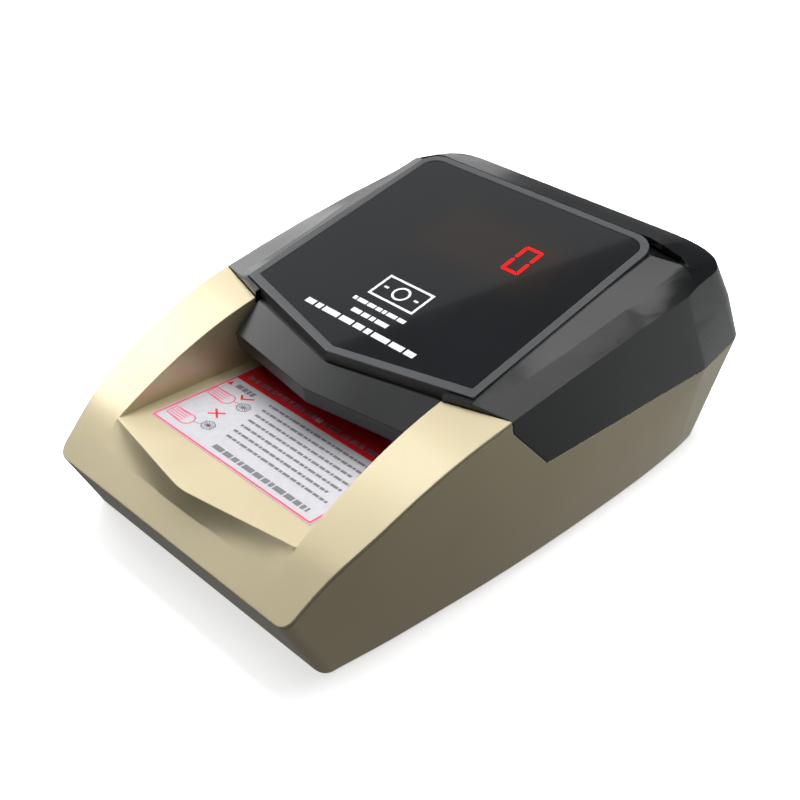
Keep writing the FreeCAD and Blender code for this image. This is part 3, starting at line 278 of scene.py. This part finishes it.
def solder_mask():
    """Green board: copper traces show through the mask as lighter lines."""
    n = Nodes("solder_mask")
    n.set(Coat_Weight=0.3, Coat_Roughness=0.15)
    grid = n.add("ShaderNodeTexBrick", offset=0.5, squash=1.0)
    n.link(n.place, grid.inputs["Vector"])
    grid.inputs["Scale"].default_value = 190.0
    grid.inputs["Mortar Size"].default_value = 0.035
    grid.inputs["Color1"].default_value = (0.012, 0.075, 0.030, 1.0)
    grid.inputs["Color2"].default_value = (0.010, 0.062, 0.026, 1.0)
    grid.inputs["Mortar"].default_value = (0.045, 0.19, 0.075, 1.0)
    n.colour(grid.outputs["Color"])
    n.rough(n.spread(n.noise(300.0), 0.28, 0.4))
    n.normal(n.bump(grid.outputs["Fac"], 0.15, 0.00003))
    return n.material


# ---- mesh helpers ------------------------------------------------------------------

def new_object(name, mesh, material=None):
    piece = bpy.data.objects.new(name, mesh)
    bpy.context.scene.collection.objects.link(piece)
    if material:
        mesh.materials.append(material)
    return piece


def apply_modifiers(piece):
    """Replaces the piece's mesh by its evaluated one."""
    graph = bpy.context.evaluated_depsgraph_get()
    made = bpy.data.meshes.new_from_object(piece.evaluated_get(graph))
    piece.modifiers.clear()
    piece.data = made


def softened(node, material, width, angle, crease, merge):
    """A moulded version of a CAD node: the same solid with the edges sharper than angle rounded."""
    mesh = nodes[node].data.copy()
    work = bmesh.new()
    work.from_mesh(mesh)
    bmesh.ops.remove_doubles(work, verts=work.verts, dist=merge)
    bmesh.ops.dissolve_limit(work, angle_limit=FLAT_ANGLE, verts=work.verts, edges=work.edges)
    work.to_mesh(mesh)
    work.free()
    mesh.materials.clear()
    piece = new_object(node + "_moulded", mesh, material)
    bevel = piece.modifiers.new("round", "BEVEL")
    bevel.width = width
    bevel.segments = ROUND_SEGMENTS
    bevel.limit_method = "ANGLE"
    bevel.angle_limit = math.radians(angle)
    bevel.use_clamp_overlap = node in CROWDED
    apply_modifiers(piece)
    smooth(piece, crease)
    even = piece.modifiers.new("even", "WEIGHTED_NORMAL")
    even.mode = "FACE_AREA_WITH_ANGLE"
    even.keep_sharp = True
    apply_modifiers(piece)
    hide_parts(node)
    return piece


def smooth(piece, angle):
    mesh = piece.data
    mesh.shade_smooth()
    mesh.set_sharp_from_angle(angle=math.radians(angle))


def dress(node, material):
    """Gives a CAD node its finish."""
    target = nodes[node]
    if not target.data.materials:
        target.data.materials.append(material)
    for slot in target.material_slots:
        slot.material = material


def panel(name, centre, across, up, size, radiance, colour=(1.0, 1.0, 1.0)):
    """Rectangular soft box at centre that shines along -(across x up) with an even radiance."""
    data = bpy.data.lights.new(name, "AREA")
    data.shape = "RECTANGLE"
    data.size, data.size_y = size
    data.energy = radiance * math.pi * size[0] * size[1]
    data.color = colour
    lamp = bpy.data.objects.new(name, data)
    x = Vector(across).normalized()
    z = x.cross(Vector(up)).normalized()
    y = z.cross(x)
    lamp.matrix_world = Matrix.Translation(centre) @ Matrix((x, y, z)).transposed().to_4x4()
    bpy.context.scene.collection.objects.link(lamp)
    return lamp


def card_from(name, towards, size, radiance, across=None, colour=(1.0, 1.0, 1.0)):
    """Soft box that faces the product's middle from the given direction, its width level or along across."""
    direction = Vector(towards).normalized()
    across = Vector(across) if across else Vector((0, 0, 1)).cross(direction)
    centre = PRODUCT_MIDDLE + direction * CARD_DISTANCE
    return panel(name, centre, across, direction.cross(across), size, radiance, colour)


# ---- materials --------------------------------------------------------------------------
gold = champagne()
black = moulded("satin_black", (0.0050, 0.0056, 0.0063), (0.0080, 0.0087, 0.0096), 0.25, 0.012,
                coat=0.5, edge=0.0005)
hood_black = moulded("hood_black", (0.010, 0.0105, 0.0115), (0.013, 0.0135, 0.0145), 0.33, 0.02)
grey = moulded("grey_trim", (0.060, 0.063, 0.067), (0.068, 0.071, 0.075), 0.30, 0.02)
guide_black = moulded("guide_black", (0.028, 0.028, 0.030), (0.04, 0.04, 0.042), 0.5, 0.1, 1500.0)
control_black = moulded("control_black", (0.018, 0.018, 0.02), (0.03, 0.03, 0.032), 0.42, 0.08)
nylon = moulded("natural_nylon", (0.72, 0.70, 0.64), (0.78, 0.76, 0.70), 0.45, 0.06)
chip = moulded("chip_package", (0.02, 0.02, 0.022), (0.035, 0.035, 0.036), 0.55, 0.12, 3000.0)
led_body = moulded("display_module", (0.03, 0.012, 0.012), (0.04, 0.016, 0.015), 0.35, 0.04)
sleeve = moulded("cell_sleeve", (0.035, 0.12, 0.36), (0.05, 0.15, 0.42), 0.3, 0.04)
window_glass = smoked_acrylic()
film = label_film()
plated = steel("plated_steel", (0.62, 0.62, 0.60), 0.32, (1.0, 0.06, 1.0))
ground = steel("ground_steel", (0.72, 0.72, 0.73), 0.2, (0.05, 1.0, 1.0))
bronze = steel("sintered_bronze", (0.55, 0.36, 0.16), 0.45, (1.0, 1.0, 0.3))
tyre = rubber("feed_rubber", (0.035, 0.035, 0.037), 0.72)
belt = rubber("belt_rubber", (0.016, 0.016, 0.016), 0.62)
pad = rubber("foot_rubber", (0.02, 0.02, 0.02), 0.8)
board = solder_mask()
lens = clear_lens()
red_ink = printed("red_ink", (0.72, 0.008, 0.016))
pink_ink = printed("pink_ink", (0.80, 0.07, 0.16))
grey_ink = printed("grey_ink", (0.17, 0.17, 0.19))
pale_ink = printed("pale_ink", (0.86, 0.60, 0.62))
white_ink = printed("white_ink", (0.82, 0.83, 0.84))
digit_red = lit_segment()

CROWDED = ("base_shell", "front_cover", "rear_cover")   # small features lie close together here

FINISHES = {
    "front_drive_shaft": ground, "rear_drive_shaft": ground, "motor_shaft": ground,
    "front_pinch_shaft": ground, "rear_pinch_shaft": ground, "hinge_pins": ground,
    "front_drive_rollers": tyre, "rear_drive_rollers": tyre,
    "front_pinch_rollers": tyre, "rear_pinch_rollers": tyre,
    "front_pulley": nylon, "rear_pulley": nylon, "motor_pulley": bronze, "shaft_bushes": bronze,
    "drive_belt": belt, "encoder_disc": chip, "encoder_sensor": control_black,
    "side_brackets": plated, "motor": plated, "magnetic_heads": plated, "base_screws": plated,
    "upper_guide": guide_black, "lower_guide": guide_black, "battery_holder": guide_black,
    "lower_sensor_lens": lens, "upper_sensor_lens": lens,
    "lower_sensor_board": board, "upper_sensor_board": board, "display_board": board,
    "power_board": board, "display_components": chip, "power_components": chip,
    "digit_modules": led_body, "board_standoffs": nylon, "battery_cells": sleeve,
    "battery_door": gold, "speaker": chip, "port_plate": black, "rocker_housing": control_black,
    "power_rocker": control_black, "power_jack": control_black, "mode_button": control_black,
    "button_switch": chip, "rubber_feet": pad, "tray_label": film, "display_window": window_glass,
}


# ---- printed graphics ------------------------------------------------------------------------

class Print:
    """Flat printed shapes in a plane: corner, right and up directions, drawn in millimetres."""

    def __init__(self, name, corner, right, up, lift):
        self.name = name
        self.corner = Vector(corner)
        self.right = Vector(right).normalized()
        self.up = Vector(up).normalized()
        self.out = self.right.cross(self.up)
        self.lift = lift
        self.work = bmesh.new()
        self.inks = []

    def point(self, x, y, lift):
        return self.corner + (self.right * x + self.up * y) * MM + self.out * lift

    def area(self, points, ink):
        """Filled polygon in one ink, facing out of the sheet."""
        if ink not in self.inks:
            self.inks.append(ink)
        verts = [self.work.verts.new(self.point(x, y, self.lift)) for x, y in points]
        face = self.work.faces.new(verts)
        if face.normal.dot(self.out) < 0:
            face.normal_flip()
        face.material_index = self.inks.index(ink)

    def bar(self, x, y, width, height, ink):
        self.area([(x, y), (x + width, y), (x + width, y + height), (x, y + height)], ink)

    def stroke(self, points, width, ink, closed=False):
        """Line of even width through the points, mitred at its corners."""
        count = len(points)
        left = []
        right = []
        for i, (x, y) in enumerate(points):
            before = points[i - 1] if i or closed else points[i]
            after = points[(i + 1) % count] if i < count - 1 or closed else points[i]
            d1 = Vector((x - before[0], y - before[1]))
            d2 = Vector((after[0] - x, after[1] - y))
            if d1.length == 0:
                d1 = d2
            if d2.length == 0:
                d2 = d1
            way = (d1.normalized() + d2.normalized())
            way = way.normalized() if way.length > 0 else d1.normalized()
            side = Vector((-way.y, way.x))
            reach = width / 2 / max(0.4, abs(side.dot(Vector((-d1.y, d1.x)).normalized())))
            left.append((x + side.x * reach, y + side.y * reach))
            right.append((x - side.x * reach, y - side.y * reach))
        last = count if closed else count - 1
        for i in range(last):
            j = (i + 1) % count
            self.area([left[i], right[i], right[j], left[j]], ink)

    def make(self, body):
        mesh = bpy.data.meshes.new(self.name)
        self.work.to_mesh(mesh)
        self.work.free()
        for ink in self.inks:
            mesh.materials.append(ink)
        piece = new_object(self.name, mesh)
        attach(piece, body)
        return piece


def arc_points(cx, cy, radius, start, end, count):
    points = []
    for i in range(count):
        angle = math.radians(start + (end - start) * i / (count - 1))
        points.append((cx + radius * math.cos(angle), cy + radius * math.sin(angle)))
    return points


def bar_line(sheet, x, y, length, height, ink, pitch, seed):
    """A line of plain bars of uneven length that stands for text and says nothing."""
    at = x
    step = 0
    while at < x + length - pitch * 0.5:
        width = pitch * (0.9 + 0.55 * ((seed * 5 + step * 7) % 4))
        width = min(width, x + length - at)
        sheet.bar(at, y, width, height, ink)
        at += width + pitch * 0.34
        step += 1


def held_note(sheet, x, y):
    """Pictogram: a hand that holds a note by its end."""
    for row in range(5):
        inset = 0.5 * abs(row - 2)
        sheet.bar(x + inset, y + row * 1.05, 6.8 - inset, 0.34, pink_ink)
    outline = [(x + 7.2, y - 0.4), (x - 0.3, y + 0.2), (x - 0.6, y + 4.4), (x + 7.2, y + 5.0)]
    sheet.stroke(outline, 0.34, pink_ink)
    sheet.stroke(arc_points(x + 7.2, y + 2.3, 2.7, -90, 90, 12), 0.42, pink_ink)
    sheet.stroke([(x + 9.6, y + 2.9), (x + 12.2, y + 3.4)], 0.26, grey_ink)


def crumple(sheet, x, y):
    """Pictogram: a crumpled note, a tangle of short strokes."""
    for turn in range(0, 180, 30):
        dx = math.cos(math.radians(turn))
        dy = math.sin(math.radians(turn))
        reach = 2.4 - 0.5 * (turn % 60 == 0)
        sheet.stroke([(x - dx * reach * 1.25, y - dy * reach), (x + dx * reach * 1.25, y + dy * reach)],
                     0.3, grey_ink)
    sheet.stroke(arc_points(x, y, 2.3, 0, 330, 12), 0.34, grey_ink, closed=True)


# ---- the tray label -------------------------------------------------------------------------

def make_tray_print():
    low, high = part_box("tray_label")
    slope = (low[2] + 0.00012 - high[2]) / (high[1] - low[1])
    start = (low[0], low[1], high[2])
    width = (high[0] - low[0]) / MM
    length = (high[1] - low[1]) / MM
    sheet = Print("tray_label_print", start, (1, 0, 0), (0, 1, slope), 0.00003)
    edge = 0.7
    frame_line = [(edge, edge), (width - edge, edge), (width - edge, length - 1), (edge, length - 1)]
    sheet.stroke(frame_line, 0.75, pink_ink, closed=True)
    header = 34.2
    sheet.bar(edge, header, width - 2 * edge, length - 1.0 - header, red_ink)
    bar_line(sheet, 3.4, header + 2.2, width - 7.0, 2.2, pale_ink, 2.0, 1)
    # feeding guide: a flat note goes in, a crumpled one doesn't
    held_note(sheet, 1.9, 21.0)
    crumple(sheet, 16.6, 24.0)
    sheet.stroke([(10.6, 28.4), (12.4, 26.8), (15.4, 29.6)], 0.85, red_ink)
    held_note(sheet, 2.6, 4.4)
    crumple(sheet, 17.2, 9.4)
    sheet.stroke([(11.6, 13.6), (15.6, 17.6)], 0.75, red_ink)
    sheet.stroke([(11.4, 17.2), (15.8, 14.0)], 0.75, red_ink)
    sheet.area([(1.2, 29.6), (3.4, 29.6), (2.3, 31.9)], red_ink)
    bar_line(sheet, 5.0, 29.9, 8.6, 2.2, grey_ink, 1.3, 2)
    for row in range(7):
        indent = 21.0 + 0.7 * row
        reach = width - indent - 3.5 - (row % 3) * 2.0
        bar_line(sheet, indent, 30.6 - row * 3.45, reach, 1.1, grey_ink, 1.2, row)
    bar_line(sheet, 27.0, 3.0, width - 32.0, 2.1, grey_ink, 1.7, 3)
    return sheet.make("base")


# ---- print and lit digit on the display window ----------------------------------------------
PANE_THICKNESS = 0.0018


def window_frame():
    """Front point in the middle plane and up direction of the window's top face."""
    points = [v.co for v in nodes["display_window"].data.vertices]
    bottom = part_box("display_window")[0][2]
    top = max(points, key=lambda p: p.z)
    front = min((p for p in points if p.z > bottom + PANE_THICKNESS), key=lambda p: p.y)
    rise = (top.z - front.z) / (top.y - front.y)
    return Vector((0.0, front.y, front.z)), Vector((0, 1, rise)).normalized()


def make_window_print():
    start, up = window_frame()
    sheet = Print("window_print", start, (1, 0, 0), up, 0.00003)
    # generic banknote pictogram
    cx, cy = -0.5, 31.0
    note = [(cx - 9.5, cy - 5.2), (cx + 9.5, cy - 5.2), (cx + 9.5, cy + 5.2), (cx - 9.5, cy + 5.2)]
    sheet.stroke(note, 0.9, white_ink, closed=True)
    sheet.stroke(arc_points(cx, cy, 2.9, 0, 345, 24), 0.8, white_ink, closed=True)
    for side in (-1, 1):
        sheet.bar(cx + side * 6.6 - 0.9, cy - 0.45, 1.8, 0.9, white_ink)
    bar_line(sheet, cx - 12.0, 20.4, 24.0, 1.7, white_ink, 1.6, 4)
    bar_line(sheet, cx - 8.0, 15.6, 17.0, 1.9, white_ink, 2.0, 2)
    bar_line(sheet, cx - 24.0, 10.2, 50.0, 2.3, white_ink, 2.7, 1)
    return sheet.make("cover")


def make_digit():
    """The lit 0: six slim segments with bevelled ends."""
    start, up = window_frame()
    low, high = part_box("digit_modules")
    sheet = Print("lit_digit", start, (1, 0, 0), up, 0.00004)
    centre_x = (high[0] - 0.0063) / MM
    centre_y = ((low[1] + high[1]) / 2 - start.y) / MM / up.y
    half_x, half_y, thick, gap = 3.65, 7.1, 1.25, 0.3
    for side in (-1, 1):
        outer = side * half_y
        inner = side * (half_y - thick)
        wide = half_x - gap
        narrow = wide - thick
        sheet.area([(centre_x - wide, centre_y + outer), (centre_x + wide, centre_y + outer),
                    (centre_x + narrow, centre_y + inner), (centre_x - narrow, centre_y + inner)],
                   digit_red)
        for level in (-1, 1):
            x_out = centre_x + side * half_x
            x_in = centre_x + side * (half_x - thick)
            far = centre_y + level * (half_y - gap)
            near = centre_y + level * gap
            x_mid = (x_out + x_in) / 2
            sheet.area([(x_out, far), (x_out, near + level * 0.5), (x_mid, near),
                        (x_in, near + level * 0.5), (x_in, far - level * thick)], digit_red)
    return sheet.make("cover")


# ---- assembly of the looks --------------------------------------------------------------------

# node: material, rounding in mm, least angle rounded, least angle kept as a crease, weld in mm
SHELLS = {
    "base_shell": (gold, 0.5, 24.0, 34.0, 0.01),
    "front_cover": (gold, 0.3, 24.0, 26.0, 0.012),
    "rear_cover": (black, 0.45, 12.0, 12.0, 0.01),
    "display_bezel": (grey, 0.3, 24.0, 34.0, 0.01),
    "nose_hood": (hood_black, 0.5, 15.0, 34.0, 0.01),
}


def home_of(node):
    """Name of the body that the CAD node belongs to."""
    bodies = frame["record"]["behaviour"]["bodies"]
    return next(name for name, members in bodies.items() if node in members)


def dress_frame():
    for node, material in FINISHES.items():
        dress(node, material)
    for node, (material, width, angle, crease, merge) in SHELLS.items():
        piece = softened(node, material, width * MM, angle, crease, merge * MM)
        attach(piece, home_of(node))


def stage_piece(name, mesh, tone_scale, gloss_scale, roughness):
    """A white piece of the studio that is only looked at: it doesn't mirror in the product or light it."""
    n = Nodes(name)
    n.colour(n.blend(n.spread(n.noise(tone_scale), 0.0, 1.0), (0.90, 0.90, 0.90), (0.92, 0.92, 0.92)))
    n.rough(n.spread(n.noise(gloss_scale), roughness - 0.05, roughness + 0.05))
    n.set(Emission_Color=(1.0, 1.0, 1.0, 1.0), Emission_Strength=1.0, Specular_IOR_Level=0.0)
    piece = new_object(name, mesh, n.material)
    piece.visible_glossy = False
    piece.visible_diffuse = False
    return piece, n


def make_stage():
    mesh = bpy.data.meshes.new("studio_floor")
    size = FLOOR_SIZE
    corners = [(-size, -size, 0), (size, -size, 0), (size, size, 0), (-size, size, 0)]
    mesh.from_pydata(corners, [], [(0, 1, 2, 3)])
    n = stage_piece("studio_floor", mesh, 2.0, 40.0, 0.80)[1]
    # its glow is dimmer round the product, a painted shade there, so that the product's soft shadow shows
    away = n.add("ShaderNodeVectorMath", operation="LENGTH")
    n.link(n.place, away.inputs[0])
    n.link(n.spread(away.outputs["Value"], 0.62, 1.0, 0.3, 1.2), n.shader.inputs["Emission Strength"])

    mesh = bpy.data.meshes.new("studio_wall")
    ring = bmesh.new()
    bmesh.ops.create_cone(ring, segments=64, radius1=WALL_RADIUS, radius2=WALL_RADIUS, depth=WALL_HEIGHT)
    bmesh.ops.translate(ring, verts=ring.verts, vec=(0.0, 0.0, WALL_HEIGHT / 2 - 1.0))
    ring.to_mesh(mesh)
    ring.free()
    wall = stage_piece("studio_wall", mesh, 1.0, 20.0, 0.85)[0]
    wall.visible_shadow = False


def ramp_node(tree, source, start, end, low, high):
    """Value that goes from low to high while the source goes from start to end."""
    ramp = tree.nodes.new("ShaderNodeMapRange")
    for name, value in (("From Min", start), ("From Max", end), ("To Min", low), ("To Max", high)):
        ramp.inputs[name].default_value = value
    tree.links.new(source, ramp.inputs["Value"])
    return ramp.outputs["Result"]


def make_room():
    """World light: a dim room that gets lighter towards the ground behind the product."""
    world = bpy.data.worlds.new("studio")
    bpy.context.scene.world = world
    world.use_nodes = True
    tree = world.node_tree
    shade = tree.nodes["Background"]
    shade.inputs["Color"].default_value = (0.97, 0.99, 1.0, 1.0)
    split = tree.nodes.new("ShaderNodeSeparateXYZ")
    tree.links.new(tree.nodes.new("ShaderNodeTexCoord").outputs["Generated"], split.inputs[0])
    downward = ramp_node(tree, split.outputs["Z"], -0.14, -0.40, 0.0, 1.0)
    rearward = ramp_node(tree, split.outputs["Y"], 0.45, 0.80, 0.10, 0.42)
    total = tree.nodes.new("ShaderNodeMath")
    total.operation = "MULTIPLY_ADD"
    tree.links.new(downward, total.inputs[0])
    tree.links.new(rearward, total.inputs[1])
    total.inputs[2].default_value = 0.055
    tree.links.new(total.outputs[0], shade.inputs["Strength"])


def make_lights():
    level = (1.0, 0.0, 0.0)
    fill = card_from("top_fill", (-0.28, 0.32, 0.90), (1.1, 1.1), 6.6, level)
    fill.visible_glossy = False
    card_from("over_front", (-0.05, -0.32, 0.94), (1.0, 0.6), 1.5, level)
    card_from("key_box", (-0.64, 0.115, 0.76), (0.38, 0.80), 2.3, None, (0.97, 1.0, 1.05))
    card_from("nose_card", (-0.78, -0.17, 0.61), (0.55, 0.46), 4.6)
    card_from("front_card", (-0.66, -0.60, 0.46), (0.75, 0.5), 0.75)
    card_from("right_strip", (0.36, 0.49, 0.80), (0.46, 0.50), 2.3, level)
    card_from("rear_strip", (-0.09, 0.46, 0.88), (0.72, 0.45), 1.3, level)
    card_from("left_high", (-0.82, 0.45, 0.34), (1.1, 0.28), 1.9)
    card_from("left_middle", (-0.83, 0.52, 0.18), (1.1, 0.20), 1.3)
    card_from("left_low", (-0.82, 0.56, -0.06), (1.1, 0.40), 0.5)
    card_from("right_card", (0.88, 0.44, 0.12), (1.3, 0.45), 1.3)
    # its straight upper edge is what divides the display window into a light and a dark half
    near, far = Vector((-0.624, 0.308, 0.763)), Vector((-0.431, 0.612, 0.765))
    along = (far - near).normalized()
    back = ((near + far) / 2 - Vector((0.02, 0.014, 0.068))).normalized()
    down = -along.cross(back)
    middle = (near + far) / 2 + down * 0.45
    panel("rear_card", middle, along, down, (1.7, 0.9), 0.29)


def make_camera():
    data = bpy.data.cameras.new("product_view")
    data.lens = CAMERA_LENS
    data.sensor_width = 36.0
    camera = bpy.data.objects.new("product_view", data)
    camera.location = CAMERA_AT
    camera.rotation_euler = (math.pi / 2 - CAMERA_ELEVATION, 0.0, CAMERA_AZIMUTH)
    bpy.context.scene.collection.objects.link(camera)
    bpy.context.scene.camera = camera


dress_frame()
make_tray_print()
make_window_print()
make_digit()
make_stage()
make_room()
make_lights()
make_camera()
bpy.context.scene.view_settings.view_transform = "Standard"
